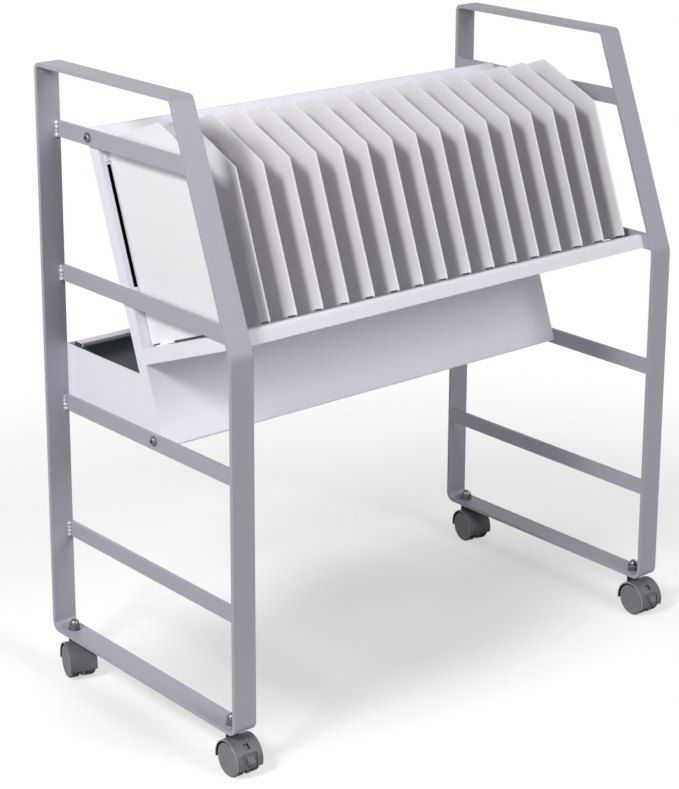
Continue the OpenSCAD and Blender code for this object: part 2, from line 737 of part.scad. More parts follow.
loop(-1);  // left_loop
rung(-1, 0);  // left_rung_1
rung(-1, 1);  // left_rung_2
rung(-1, 2);  // left_rung_3
rung(-1, 3);  // left_rung_4
loop(1);  // right_loop
rung(1, 0);  // right_rung_1
rung(1, 1);  // right_rung_2
rung(1, 2);  // right_rung_3
rung(1, 3);  // right_rung_4
end_plate(-1);  // end_plate_left
end_plate(1);  // end_plate_right
back_panel();
rear_cover();
shelf();
trough_pan();
divider(0);  // divider_01
divider(1);  // divider_02
divider(2);  // divider_03
divider(3);  // divider_04
divider(4);  // divider_05
divider(5);  // divider_06
divider(6);  // divider_07
divider(7);  // divider_08
divider(8);  // divider_09
divider(9);  // divider_10
divider(10);  // divider_11
divider(11);  // divider_12
divider(12);  // divider_13
divider(13);  // divider_14
divider(14);  // divider_15
divider(15);  // divider_16
divider(16);  // divider_17
rack_bolts();
rack_nuts();
castor_stems();
stem_washers();
dome_nuts();
brake_hood(castor_fl);  // hood_fl
axle(castor_fl);  // axle_fl
wheel(castor_fl, -1);  // wheel_fl_out
wheel(castor_fl, 1);  // wheel_fl_in
brake_lever(castor_fl);  // brake_lever_fl
brake_hood(castor_fr);  // hood_fr
axle(castor_fr);  // axle_fr
wheel(castor_fr, 1);  // wheel_fr_out
wheel(castor_fr, -1);  // wheel_fr_in
brake_lever(castor_fr);  // brake_lever_fr
hood(castor_rl);  // hood_rl
axle(castor_rl);  // axle_rl
wheel(castor_rl, -1);  // wheel_rl_out
wheel(castor_rl, 1);  // wheel_rl_in
hood(castor_rr);  // hood_rr
axle(castor_rr);  // axle_rr
wheel(castor_rr, 1);  // wheel_rr_out
wheel(castor_rr, -1);  // wheel_rr_in
power_strip();
outlets();
power_switch();
power_inlet();
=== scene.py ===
import math

import bmesh
import bpy
from mathutils import Matrix, Vector


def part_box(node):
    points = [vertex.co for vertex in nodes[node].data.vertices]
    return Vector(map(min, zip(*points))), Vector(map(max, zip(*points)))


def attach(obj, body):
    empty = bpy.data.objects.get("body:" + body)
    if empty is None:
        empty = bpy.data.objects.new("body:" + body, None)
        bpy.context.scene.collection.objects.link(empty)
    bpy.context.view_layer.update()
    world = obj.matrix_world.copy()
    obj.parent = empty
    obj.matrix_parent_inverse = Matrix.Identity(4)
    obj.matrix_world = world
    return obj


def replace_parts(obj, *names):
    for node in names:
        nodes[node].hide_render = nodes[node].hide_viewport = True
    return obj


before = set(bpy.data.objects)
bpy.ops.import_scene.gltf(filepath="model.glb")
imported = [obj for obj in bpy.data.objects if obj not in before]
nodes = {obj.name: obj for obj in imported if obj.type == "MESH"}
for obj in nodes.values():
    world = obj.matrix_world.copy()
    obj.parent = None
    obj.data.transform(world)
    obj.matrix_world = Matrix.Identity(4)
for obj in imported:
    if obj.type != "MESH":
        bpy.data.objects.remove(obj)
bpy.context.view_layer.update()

mm = 0.001


def srgb(red, green, blue):
    def linear(c):
        c /= 255
        return c / 12.92 if c <= 0.04045 else ((c + 0.055) / 1.055) ** 2.4
    return (linear(red), linear(green), linear(blue), 1)


# ---- camera ----
cameraSettings = {
    "place": (-1.75292, -2.00996, 1.28508),
    "turn": 40.325,      # degrees to the right of straight ahead
    "tilt": 15.8,        # degrees below the horizon
    "roll": 0.229,
    "lens": 99.18,
    "sensor": 36,
    "shiftUp": -0.1705,  # the photograph's frame sits below the line of sight
}


def addCamera(s):
    camera = bpy.data.cameras.new("camera")
    camera.lens, camera.sensor_width = s["lens"], s["sensor"]
    camera.shift_y = s["shiftUp"]
    holder = bpy.data.objects.new("camera", camera)
    turn, tilt = math.radians(s["turn"]), math.radians(s["tilt"])
    ahead = Vector((
        math.sin(turn) * math.cos(tilt), math.cos(turn) * math.cos(tilt), -math.sin(tilt)))
    holder.location = s["place"]
    holder.rotation_mode = "QUATERNION"
    level = ahead.to_track_quat("-Z", "Y").to_matrix().to_4x4()
    roll = Matrix.Rotation(math.radians(s["roll"]), 4, "Z")
    holder.rotation_quaternion = (level @ roll).to_quaternion()
    bpy.context.scene.collection.objects.link(holder)
    bpy.context.scene.camera = holder


addCamera(cameraSettings)
bpy.context.scene.view_settings.view_transform = "Standard"
print("camera placed")


# ---- shader helpers ----
noiseMiddle = (0.3, 0.7)


def link(tree, a, b):
    tree.links.new(a, b)


def addNode(tree, kind, inputs=None, **settings):
    made = tree.nodes.new(kind)
    for key, value in settings.items():
        setattr(made, key, value)
    for key, value in (inputs or {}).items():
        if isinstance(value, bpy.types.NodeSocket):
            link(tree, value, made.inputs[key])
        else:
            made.inputs[key].default_value = value
    return made


def newGroup(name, inputs, outputs):
    tree = bpy.data.node_groups.new(name, "ShaderNodeTree")
    for label, kind, value in inputs:
        socket = tree.interface.new_socket(label, in_out="INPUT", socket_type=kind)
        if value is not None:
            socket.default_value = value
    for label, kind in outputs:
        tree.interface.new_socket(label, in_out="OUTPUT", socket_type=kind)
    return tree, addNode(tree, "NodeGroupInput"), addNode(tree, "NodeGroupOutput")


def rampBetween(tree, value, low, high, toLow=0, toHigh=1):
    return addNode(tree, "ShaderNodeMapRange", {
        "Value": value, "From Min": low, "From Max": high,
        "To Min": toLow, "To Max": toHigh}).outputs["Result"]


def compute(tree, operation, a, b):
    return addNode(tree, "ShaderNodeMath", {0: a, 1: b}, operation=operation).outputs[0]


def spread(tree, noise, low, high):
    # the middle part of a noise, where nearly all of its values lie, as a range of low to high
    return rampBetween(tree, noise.outputs["Fac"], *noiseMiddle, low, high)


def toned(tree, colour, value):
    return addNode(tree, "ShaderNodeHueSaturation", {"Color": colour, "Value": value}).outputs[0]


def aroundOne(tree, value, amount):
    # 1 where the value is 0.5, and up to half the amount more or less elsewhere
    return compute(tree, "ADD", compute(
        tree, "MULTIPLY", compute(tree, "SUBTRACT", value, 0.5), amount), 1.0)


# ---- shader groups ----
finishOutputs = [
    ("Colour", "NodeSocketColor"), ("Roughness", "NodeSocketFloat"), ("Normal", "NodeSocketVector")]


def endFinish(tree, start, end, colour, rough, bump):
    link(tree, colour, end.inputs["Colour"])
    link(tree, compute(tree, "ADD", start.outputs["Rough"], rough), end.inputs["Roughness"])
    link(tree, bump, end.inputs["Normal"])
    return tree


def bumped(tree, strength, distance, noise):
    return addNode(tree, "ShaderNodeBump", {
        "Strength": strength, "Distance": distance, "Height": noise.outputs["Fac"]}).outputs[0]


coatSettings = {
    "slowScale": 7.0, "slowDetail": 3.0, "fineDetail": 2.0, "rough": (-0.04, 0.04), "height": 0.2 * mm}


def makeCoatGroup(s):
    # sprayed and baked paint: orange peel and a slow drift of tone
    tree, start, end = newGroup("sprayedCoat", [
        ("Colour", "NodeSocketColor", (0.8, 0.8, 0.8, 1)),
        ("Peel Scale", "NodeSocketFloat", 900.0),
        ("Peel Depth", "NodeSocketFloat", 0.1),
        ("Drift", "NodeSocketFloat", 0.03),
        ("Rough", "NodeSocketFloat", 0.4),
    ], finishOutputs)
    place = addNode(tree, "ShaderNodeTexCoord").outputs["Object"]
    slow = addNode(tree, "ShaderNodeTexNoise", {
        "Vector": place, "Scale": s["slowScale"], "Detail": s["slowDetail"]})
    fine = addNode(tree, "ShaderNodeTexNoise", {
        "Vector": place, "Scale": start.outputs["Peel Scale"], "Detail": s["fineDetail"]})
    light = aroundOne(tree, slow.outputs["Fac"], start.outputs["Drift"])
    colour = toned(tree, start.outputs["Colour"], light)
    bump = bumped(tree, start.outputs["Peel Depth"], s["height"], fine)
    return endFinish(tree, start, end, colour, spread(tree, fine, *s["rough"]), bump)


def makeFlakeGroup():
    # metal flakes in a clear coat: tiny cells that differ in tone
    tree, start, end = newGroup("metalFlake", [
        ("Colour", "NodeSocketColor", (0.5, 0.5, 0.5, 1)),
        ("Flake Scale", "NodeSocketFloat", 2500.0),
        ("Amount", "NodeSocketFloat", 0.1),
    ], [("Colour", "NodeSocketColor")])
    place = addNode(tree, "ShaderNodeTexCoord").outputs["Object"]
    cells = addNode(tree, "ShaderNodeTexVoronoi", {
        "Vector": place, "Scale": start.outputs["Flake Scale"]})
    grey = addNode(tree, "ShaderNodeSeparateColor", {0: cells.outputs["Color"]}).outputs[0]
    light = aroundOne(tree, grey, start.outputs["Amount"])
    link(tree, toned(tree, start.outputs["Colour"], light), end.inputs["Colour"])
    return tree


grainSettings = {
    "grainDetail": 4.0, "scuffScale": 60.0, "scuffDetail": 5.0,
    "scuffTone": (0.94, 1.06), "scuffRough": (-0.06, 0.08), "height": 0.1 * mm}


def makeGrainGroup(s):
    # spark-eroded grain of a moulded plastic part, with scuffs
    tree, start, end = newGroup("mouldGrain", [
        ("Colour", "NodeSocketColor", (0.2, 0.2, 0.2, 1)),
        ("Grain Scale", "NodeSocketFloat", 1500.0),
        ("Grain Depth", "NodeSocketFloat", 0.2),
        ("Rough", "NodeSocketFloat", 0.5),
    ], finishOutputs)
    place = addNode(tree, "ShaderNodeTexCoord").outputs["Object"]
    grain = addNode(tree, "ShaderNodeTexNoise", {
        "Vector": place, "Scale": start.outputs["Grain Scale"], "Detail": s["grainDetail"]})
    scuff = addNode(tree, "ShaderNodeTexNoise", {
        "Vector": place, "Scale": s["scuffScale"], "Detail": s["scuffDetail"]})
    colour = toned(tree, start.outputs["Colour"], spread(tree, scuff, *s["scuffTone"]))
    bump = bumped(tree, start.outputs["Grain Depth"], s["height"], grain)
    return endFinish(tree, start, end, colour, spread(tree, scuff, *s["scuffRough"]), bump)


sprayedCoat = makeCoatGroup(coatSettings)
metalFlake = makeFlakeGroup()
mouldGrain = makeGrainGroup(grainSettings)


def useGroup(tree, group, inputs):
    return addNode(tree, "ShaderNodeGroup", inputs, node_tree=group)


def newMaterial(name):
    material = bpy.data.materials.new(name)
    material.use_nodes = True
    return material, material.node_tree, material.node_tree.nodes["Principled BSDF"]


# ---- materials ----
def linkFinish(tree, finish, shader):
    link(tree, finish.outputs["Colour"], shader.inputs["Base Color"])
    link(tree, finish.outputs["Roughness"], shader.inputs["Roughness"])
    link(tree, finish.outputs["Normal"], shader.inputs["Normal"])


def makePaint(name, s):
    material, tree, shader = newMaterial(name)
    colour = s["colour"]
    if s.get("flake"):
        colour = useGroup(tree, metalFlake, {
            "Colour": colour, "Flake Scale": s["flakeScale"], "Amount": s["flake"]}).outputs["Colour"]
    linkFinish(tree, useGroup(tree, sprayedCoat, {
        "Colour": colour, "Peel Scale": s["peelScale"], "Peel Depth": s["peelDepth"],
        "Drift": s["drift"], "Rough": s["rough"]}), shader)
    shader.inputs["Metallic"].default_value = s["metallic"]
    shader.inputs["Specular IOR Level"].default_value = s.get("gloss", 0.5)
    return material


def makePlastic(name, s):
    material, tree, shader = newMaterial(name)
    linkFinish(tree, useGroup(tree, mouldGrain, {
        "Colour": s["colour"], "Grain Scale": s["grainScale"],
        "Grain Depth": s["grainDepth"], "Rough": s["rough"]}), shader)
    return material


smearSettings = {"scale": 350.0, "detail": 4.0, "tone": (0.85, 1.1), "rough": (-0.04, 0.06)}


def makeMetal(name, s, smears):
    # plating with faint smears
    material, tree, shader = newMaterial(name)
    place = addNode(tree, "ShaderNodeTexCoord").outputs["Object"]
    smear = addNode(tree, "ShaderNodeTexNoise", {
        "Vector": place, "Scale": smears["scale"], "Detail": smears["detail"]})
    rough = spread(tree, smear, *[s["rough"] + part for part in smears["rough"]])
    colour = toned(tree, s["colour"], spread(tree, smear, *smears["tone"]))
    link(tree, rough, shader.inputs["Roughness"])
    link(tree, colour, shader.inputs["Base Color"])
    shader.inputs["Metallic"].default_value = 1
    return material


framePaint = makePaint("framePaint", {
    "colour": srgb(172, 171, 182), "metallic": 0.12, "rough": 0.45, "gloss": 0.25,
    "flake": 0.12, "flakeScale": 2600.0, "peelScale": 1100.0, "peelDepth": 0.12, "drift": 0.05})
# painted highlight: the beads take the frame's paint made lighter, which stands in for the light that
# catches their lumps
weldPaintWithPaintedHighlight = makePaint("weldPaintWithPaintedHighlight", {
    "colour": srgb(214, 213, 222), "metallic": 0.12, "rough": 0.28,
    "peelScale": 1500.0, "peelDepth": 0.1, "drift": 0.05})
rackPaint = makePaint("rackPaint", {
    "colour": srgb(239, 237, 247), "metallic": 0, "rough": 0.46,
    "peelScale": 1300.0, "peelDepth": 0.1, "drift": 0.03})
dividerPaint = makePaint("dividerPaint", {
    "colour": srgb(241, 238, 242), "metallic": 0, "rough": 0.46,
    "peelScale": 1300.0, "peelDepth": 0.1, "drift": 0.03})
# painted shade: a darker grey for the trough's inner faces, which stands in for the shade inside the
# trough
troughPaintedShade = makePaint("troughPaintedShade", {
    "colour": srgb(152, 159, 164), "metallic": 0, "rough": 0.6,
    "peelScale": 900.0, "peelDepth": 0.12, "drift": 0.05})
# painted shade: a near-black paint that stands in for the deep shade in the cable channel and the slots
paintedChannelShade = makePaint("paintedChannelShade", {
    "colour": srgb(30, 30, 32), "metallic": 0, "rough": 0.7,
    "peelScale": 900.0, "peelDepth": 0.12, "drift": 0.05})
hoodPlastic = makePlastic("hoodPlastic", {
    "colour": srgb(104, 103, 108), "grainScale": 1800.0, "grainDepth": 0.25, "rough": 0.48})
# painted highlight: a lighter grey on the hood's rims, which stands in for the light that catches them
hoodRimPaintedHighlight = makePlastic("hoodRimPaintedHighlight", {
    "colour": srgb(168, 167, 172), "grainScale": 1800.0, "grainDepth": 0.15, "rough": 0.4})
wheelPlastic = makePlastic("wheelPlastic", {
    "colour": srgb(121, 120, 125), "grainScale": 1400.0, "grainDepth": 0.15, "rough": 0.5})
treadPlastic = makePlastic("treadPlastic", {
    "colour": srgb(52, 52, 55), "grainScale": 1400.0, "grainDepth": 0.2, "rough": 0.6})
# painted shade: near-black for the hood's inner faces, where deep shade falls
hoodPaintedShade = makePlastic("hoodPaintedShade", {
    "colour": srgb(20, 20, 22), "grainScale": 1400.0, "grainDepth": 0.2, "rough": 0.7})
stripPlastic = makePlastic("stripPlastic", {
    "colour": srgb(38, 38, 40), "grainScale": 1500.0, "grainDepth": 0.3, "rough": 0.5})
outletPlastic = makePlastic("outletPlastic", {
    "colour": srgb(56, 56, 58), "grainScale": 1800.0, "grainDepth": 0.15, "rough": 0.4})
chromePlate = makeMetal("chromePlate", {"colour": srgb(128, 128, 131), "rough": 0.1}, smearSettings)
zincPlate = makeMetal("zincPlate", {"colour": srgb(150, 150, 152), "rough": 0.35}, smearSettings)
print("materials made")


# ---- mesh helpers ----
meshSettings = {
    "weld": 0.002 * mm,      # vertices this near are one
    "flat": 0.4,             # faces that turn less than this, in degrees, are one
    "smooth": 35,            # edges that turn more than this stay sharp
    "round": 40,             # edges that turn more than this are rounded
    "largeFaces": 100,       # how much more a large face bends the normals round it than a small one
}


def linkObject(name, mesh):
    made = bpy.data.objects.new(name, mesh)
    bpy.context.scene.collection.objects.link(made)
    return made


def paintObject(piece, material):
    piece.data.materials.clear()
    piece.data.materials.append(material)


def paintFaces(piece, material, picked):
    # the picked faces take a second finish
    piece.data.materials.append(material)
    for face in piece.data.polygons:
        if picked(face.center, face.normal):
            face.material_index = len(piece.data.materials) - 1


def smoothFaces(mesh, angle=meshSettings["smooth"]):
    mesh.shade_smooth()
    mesh.set_sharp_from_angle(angle=math.radians(angle))


def cleanCopy(name):
    # a CAD node's mesh with its flat faces whole again
    mesh = nodes[name].data.copy()
    shape = bmesh.new()
    shape.from_mesh(mesh)
    bmesh.ops.remove_doubles(shape, verts=shape.verts, dist=meshSettings["weld"])
    bmesh.ops.dissolve_limit(
        shape, angle_limit=math.radians(meshSettings["flat"]), verts=shape.verts, edges=shape.edges)
    shape.to_mesh(mesh)
    shape.free()
    if "custom_normal" in mesh.attributes:
        mesh.attributes.remove(mesh.attributes["custom_normal"])
    return mesh


def bakeModifiers(made):
    seen = made.evaluated_get(bpy.context.evaluated_depsgraph_get())
    mesh = bpy.data.meshes.new_from_object(seen)
    made.modifiers.clear()
    made.data = mesh
    return made


def roundEdges(made, edge, steps):
    # every hard edge is rounded as a deburred and coated edge is, and large faces stay flat
    made.data.shade_smooth()
    rounding = made.modifiers.new("edgeRound", "BEVEL")
    rounding.width, rounding.segments = edge, steps
    rounding.limit_method, rounding.angle_limit = "ANGLE", math.radians(meshSettings["round"])
    rounding.use_clamp_overlap = True
    evened = made.modifiers.new("flatFaces", "WEIGHTED_NORMAL")
    evened.mode, evened.weight, evened.keep_sharp = "FACE_AREA", meshSettings["largeFaces"], False
    return bakeModifiers(made)


def softened(name, piece, s):
    return roundEdges(linkObject(piece, cleanCopy(name)), s["edge"], s["steps"])


# ---- node trees that repeat a shape ----
def newShapeTree(name, inputs):
    tree = bpy.data.node_groups.new(name, "GeometryNodeTree")
    tree.is_modifier = True
    tree.interface.new_socket("Geometry", in_out="INPUT", socket_type="NodeSocketGeometry")
    for label, kind, value in inputs:
        socket = tree.interface.new_socket(label, in_out="INPUT", socket_type="NodeSocket" + kind)
        if value is not None:
            socket.default_value = value
    tree.interface.new_socket("Geometry", in_out="OUTPUT", socket_type="NodeSocketGeometry")
    return tree, addNode(tree, "NodeGroupInput"), addNode(tree, "NodeGroupOutput")


def endShapeTree(tree, start, end, geometry):
    real = addNode(tree, "GeometryNodeRealizeInstances", {0: geometry})
    painted = addNode(tree, "GeometryNodeSetMaterial", {
        "Geometry": real.outputs[0], "Material": start.outputs["Material"]})
    link(tree, painted.outputs[0], end.inputs["Geometry"])


def runTree(made, tree, values):
    shaper = made.modifiers.new(tree.name, "NODES")
    shaper.node_group = tree
    for socket in tree.interface.items_tree:
        if socket.item_type == "SOCKET" and socket.in_out == "INPUT" and socket.name in values:
            shaper[socket.identifier] = values[socket.name]
    return bakeModifiers(made)


def makeRowTree():
    # one plate repeated along the cart
    tree, start, end = newShapeTree("plateRow", [
        ("Count", "Int", 17), ("Pitch", "Float", 0.04), ("Material", "Material", None)])
    step = addNode(tree, "ShaderNodeCombineXYZ", {"X": start.outputs["Pitch"]})
    row = addNode(tree, "GeometryNodeMeshLine", {
        "Count": start.outputs["Count"], "Offset": step.outputs[0]}, mode="OFFSET")
    plates = addNode(tree, "GeometryNodeInstanceOnPoints", {
        "Points": row.outputs[0], "Instance": start.outputs["Geometry"]})
    endShapeTree(tree, start, end, plates.outputs[0])
    return tree


def makeBeadTree():
    # lumps of weld metal laid over each other along a seam
    tree, start, end = newShapeTree("weldBead", [
        ("Spacing", "Float", 0.0017), ("Size", "Float", 0.0024), ("Unevenness", "Float", 0.2),
        ("Seed", "Int", 3), ("Material", "Material", None)])
    seam = addNode(tree, "GeometryNodeMeshToCurve", {"Mesh": start.outputs["Geometry"]})
    points = addNode(tree, "GeometryNodeResampleCurve", {
        "Curve": seam.outputs[0], "Length": start.outputs["Spacing"]}, mode="LENGTH")
    lump = addNode(tree, "GeometryNodeMeshIcoSphere", {
        "Radius": start.outputs["Size"], "Subdivisions": 2})
    low = compute(tree, "SUBTRACT", 1.0, start.outputs["Unevenness"])
    high = compute(tree, "ADD", 1.0, start.outputs["Unevenness"])
    scale = addNode(tree, "FunctionNodeRandomValue", {
        "Min": low, "Max": high, "Seed": start.outputs["Seed"]}, data_type="FLOAT_VECTOR")
    lumps = addNode(tree, "GeometryNodeInstanceOnPoints", {
        "Points": points.outputs[0], "Instance": lump.outputs[0], "Scale": scale.outputs[0]})
    endShapeTree(tree, start, end, lumps.outputs[0])
    return tree


plateRow = makeRowTree()
weldBead = makeBeadTree()
print("node trees made")

# ---- painted frame ----
frameSettings = {"edge": 0.9 * mm, "steps": 3, "sides": ("left", "right"), "rungs": range(1, 5)}
for side in frameSettings["sides"]:
    loop = softened(side + "_loop", side + "Loop", frameSettings)
    paintObject(loop, framePaint)
    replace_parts(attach(loop, "cart"), side + "_loop")
    for i in frameSettings["rungs"]:
        rung = linkObject(f"{side}Rung{i}", cleanCopy(f"{side}_rung_{i}"))
        smoothFaces(rung.data)
        paintObject(rung, framePaint)
        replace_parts(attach(rung, "cart"), f"{side}_rung_{i}")
print("frame done")

# ---- rack ----
rackSettings = {
    "edge": 0.35 * mm, "steps": 2,
    "pieces": {
        "end_plate_left": "endPlateLeft", "end_plate_right": "endPlateRight", "back_panel": "backPanel",
        "rear_cover": "rearCover", "shelf": "shelfPan", "trough_pan": "troughPan"},
    "troughTop": 14 * mm,                # the trough's top flange and lip keep the rack's paint
    "towardsMiddle": 0.25,               # cosine from which a face is one of the trough's inner faces
    "towardsFront": -0.3,                # and the rear cover's faces that the cable channel shows, which take the painted shade
    "floorOrWall": 0.5,
    "slotDepth": (0.1 * mm, 2 * mm),     # where the slots' walls lie below the shelf's floor
    "rim": 4 * mm,                       # nearer to the shelf's outline there are no slots
}


def inTrough(centre, normal):
    low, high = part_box("trough_pan")
    middle = (low + high) / 2
    toMiddle = Vector((0, middle.y - centre.y, middle.z - centre.z)).normalized()
    isInside = normal.dot(toMiddle) > rackSettings["towardsMiddle"]
    return isInside and centre.z < high.z - rackSettings["troughTop"]


# the rear cover's faces towards the front, painted near-black as painted shade inside the cable channel
def inChannel(centre, normal):
    return normal.y < rackSettings["towardsFront"]


def shelfFloor(mesh):
    # the direction square to the shelf's floor, and the floor's place along it
    level = [f for f in mesh.polygons if f.normal.z > rackSettings["floorOrWall"]]
    floor = max(level, key=lambda f: f.area)
    return floor.normal.copy(), floor.normal.dot(floor.center)


def slotWalls(mesh):
    # the cut edges of the slots in the shelf's floor, painted near-black as painted shade
    up, level = shelfFloor(mesh)
    low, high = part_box("shelf")
    near, deep = rackSettings["slotDepth"]

    def isWall(centre, normal):
        isInside = min(*(centre - low).xy, *(high - centre).xy) > rackSettings["rim"]
        isSteep = abs(normal.dot(up)) < rackSettings["floorOrWall"]
        return isInside and isSteep and level - deep < centre.dot(up) < level - near
    return isWall


for name, piece in rackSettings["pieces"].items():
    sheet = softened(name, piece, rackSettings)
    paintObject(sheet, rackPaint)
    if name == "trough_pan":
        # the trough's inner faces take the painted shade
        paintFaces(sheet, troughPaintedShade, inTrough)
    if name == "shelf":
        paintFaces(sheet, paintedChannelShade, slotWalls(sheet.data))
    if name == "rear_cover":
        paintFaces(sheet, paintedChannelShade, inChannel)
    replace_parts(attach(sheet, "cart"), name)
print("rack done")

# ---- dividers ----
dividerSettings = {
    "edge": 0.7 * mm, "steps": 3, "count": 17,
    "shadeHeight": 3.1 * mm,                                 # of the painted shade of the slots on a plate's foot
    "slots": ((-81 * mm, -14 * mm), (15 * mm, 29 * mm)),     # where the shelf's slots run beside a foot
    "tip": (-1 * mm, 14 * mm),                               # the last one, from the foot's front tip
    "footSearch": 5 * mm,                                    # a foot's points lie lower above the floor
    "towardsLeft": -0.3,
}
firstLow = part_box("divider_01")[0]
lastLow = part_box("divider_17")[0]
shelfUp, shelfLevel = shelfFloor(nodes["shelf"].data)
footTop = shelfLevel + dividerSettings["shadeHeight"]
footPoints = [v.co for v in nodes["divider_01"].data.vertices
              if v.co.dot(shelfUp) < shelfLevel + dividerSettings["footSearch"]]
frontTip = min(point.y for point in footPoints)
overSlots = (*dividerSettings["slots"], tuple(frontTip + part for part in dividerSettings["tip"]))


def cutFoot(mesh):
    # edges in the plate's foot, so that the part over the shelf's slots takes a painted shade
    shape = bmesh.new()
    shape.from_mesh(mesh)
    whole = list(shape.verts) + list(shape.edges) + list(shape.faces)
    bmesh.ops.bisect_plane(shape, geom=whole, plane_co=shelfUp * footTop, plane_no=shelfUp)
    for y in [y for span in overSlots for y in span]:
        foot = [f for f in shape.faces if f.calc_center_median().dot(shelfUp) < footTop]
        sides = {e for f in foot for e in f.edges}
        corners = {v for e in sides for v in e.verts}
        bmesh.ops.bisect_plane(
            shape, geom=list(corners) + list(sides) + foot, plane_co=(0, y, 0), plane_no=(0, 1, 0))
    shape.to_mesh(mesh)
    shape.free()
    return mesh


def overSlot(centre, normal):
    # the slots lie to the left of each plate, and their shade is painted along its foot
    isFoot = normal.x < dividerSettings["towardsLeft"] and centre.dot(shelfUp) < footTop
    return isFoot and any(low < centre.y < high for low, high in overSlots)


dividers = runTree(linkObject("dividers", cutFoot(cleanCopy("divider_01"))), plateRow, {
    "Count": dividerSettings["count"],
    "Pitch": (lastLow.x - firstLow.x) / (dividerSettings["count"] - 1),
    "Material": dividerPaint})
roundEdges(dividers, dividerSettings["edge"], dividerSettings["steps"])
# painted shade: the plates' feet over the slots are painted near-black
paintFaces(dividers, paintedChannelShade, overSlot)
replaced = [f"divider_{i + 1:02d}" for i in range(dividerSettings["count"])]
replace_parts(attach(dividers, "cart"), *replaced)
print("dividers done")

# ---- weld beads ----
beadSettings = {
    "spacing": 4.6 * mm, "size": 2.9 * mm, "unevenness": 0.25, "seed": 5,
    "in": 0.9 * mm,          # how far the seam lies inside the corner
    "height": 20 * mm,       # of the seam at the rear post
    "bar": 5 * mm,           # the rung's thickness
    "slack": 0.8,            # of a lump's size, left free at each end of a seam
    "level": 0.1 * mm,       # points this near in height lie level
    "smooth": 80,
}


def rungSeams(side, i):
    # the two upright corners where a rung's outer face meets its posts
    low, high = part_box(f"{side}_rung_{i}")
    points = [v.co for v in nodes[f"{side}_rung_{i}"].data.vertices]
    outward = beadSettings["bar"] + beadSettings["in"]
    x = high.x - outward if side == "left" else low.x + outward
    seams = []
    for rear in (False, True):
        ends = []
        for z in (high.z - beadSettings["height"] if rear else low.z, high.z):
            level = [p.y for p in points if rear or abs(p.z - z) < beadSettings["level"]]
            y = max(level) - beadSettings["in"] if rear else min(level) + beadSettings["in"]
            ends.append(Vector((x, y, z)))
        slack = (ends[1] - ends[0]).normalized() * beadSettings["size"] * beadSettings["slack"]
        seams.append((ends[0] + slack, ends[1] - slack))
    return seams


seams = [seam for side in frameSettings["sides"] for i in frameSettings["rungs"]
         for seam in rungSeams(side, i)]
beadMesh = bpy.data.meshes.new("weldBeads")
beadMesh.from_pydata(
    [point for seam in seams for point in seam], [(2 * k, 2 * k + 1) for k in range(len(seams))], [])
beads = runTree(linkObject("weldBeads", beadMesh), weldBead, {
    "Spacing": beadSettings["spacing"], "Size": beadSettings["size"],
    "Unevenness": beadSettings["unevenness"], "Seed": beadSettings["seed"], "Material": weldPaintWithPaintedHighlight})
smoothFaces(beads.data, beadSettings["smooth"])
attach(beads, "cart")
print("weld beads laid")

# ---- castors ----
castorSettings = {
    "corners": ("fl", "fr", "rl", "rr"),
    "discRadius": 19.5 * mm,     # of the flat disc in a wheel's outer face
    "hoodInner": 21 * mm,        # beyond this radius lies the hood's own shell
    "webInner": 12 * mm,         # inside this radius lies the hood's boss
    "rimPlane": 17.2 * mm,       # how far the hood's rims lie from its middle
    "square": 0.9,               # cosine from which a face is square to the axle
    "slanted": 0.7,              # cosine under which a wheel's face belongs to its tread
    "inward": -0.3,              # cosine under which a face looks at the axle
    "passes": 4,                 # rounds in which the axle's direction settles
    "endPoints": 12,             # points at each end of the axle that are averaged
}


def axleLine(corner):
    # middle and direction of a castor's axle, whichever way the castor is turned
    points = [v.co for v in nodes["axle_" + corner].data.vertices]
    along = Vector((1, 0, 0))
    count = castorSettings["endPoints"]
    for _ in range(castorSettings["passes"]):
        rank = sorted(points, key=along.dot)
        ends = [sum(part, Vector()) / count for part in (rank[:count], rank[-count:])]
        along = (ends[1] - ends[0]).normalized()
    return (ends[0] + ends[1]) / 2, along


def polar(centre, line):
    # place along the axle, distance from it, and the direction away from it
    middle, along = line
    offset = centre - middle
    out = offset - along * offset.dot(along)
    return offset.dot(along), out.length, out.normalized()


def castorFaces(line, s):
    # which faces of a castor's pieces take the painted shade inside the hood, the painted highlight on its
    # rims, or the tread's own colour
    def isSquare(normal):
        return abs(normal.dot(line[1])) > s["square"]

    def isInner(centre, normal):
        side, far, out = polar(centre, line)
        shell = normal.dot(out) < s["inward"] and far > s["hoodInner"]
        return shell or (isSquare(normal) and abs(side) < s["rimPlane"] and far > s["webInner"])

    def isRim(centre, normal):
        return isSquare(normal) and abs(polar(centre, line)[0]) >= s["rimPlane"]

    def isTread(centre, normal):
        return polar(centre, line)[1] > s["discRadius"] or abs(normal.dot(line[1])) < s["slanted"]
    return isInner, isRim, isTread


for corner in castorSettings["corners"]:
    isInner, isRim, isTread = castorFaces(axleLine(corner), castorSettings)
    hood = linkObject("hood_" + corner + "_body", cleanCopy("hood_" + corner))
    smoothFaces(hood.data)
    paintObject(hood, hoodPlastic)
    paintFaces(hood, hoodPaintedShade, isInner)
    # the rims take the painted highlight
    paintFaces(hood, hoodRimPaintedHighlight, isRim)
    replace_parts(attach(hood, "castor_" + corner), "hood_" + corner)
    for place in ("out", "in"):
        name = f"wheel_{corner}_{place}"
        wheel = linkObject(name + "_body", cleanCopy(name))
        smoothFaces(wheel.data)
        paintObject(wheel, wheelPlastic)
        paintFaces(wheel, treadPlastic, isTread)
        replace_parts(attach(wheel, name), name)
print("castors done")

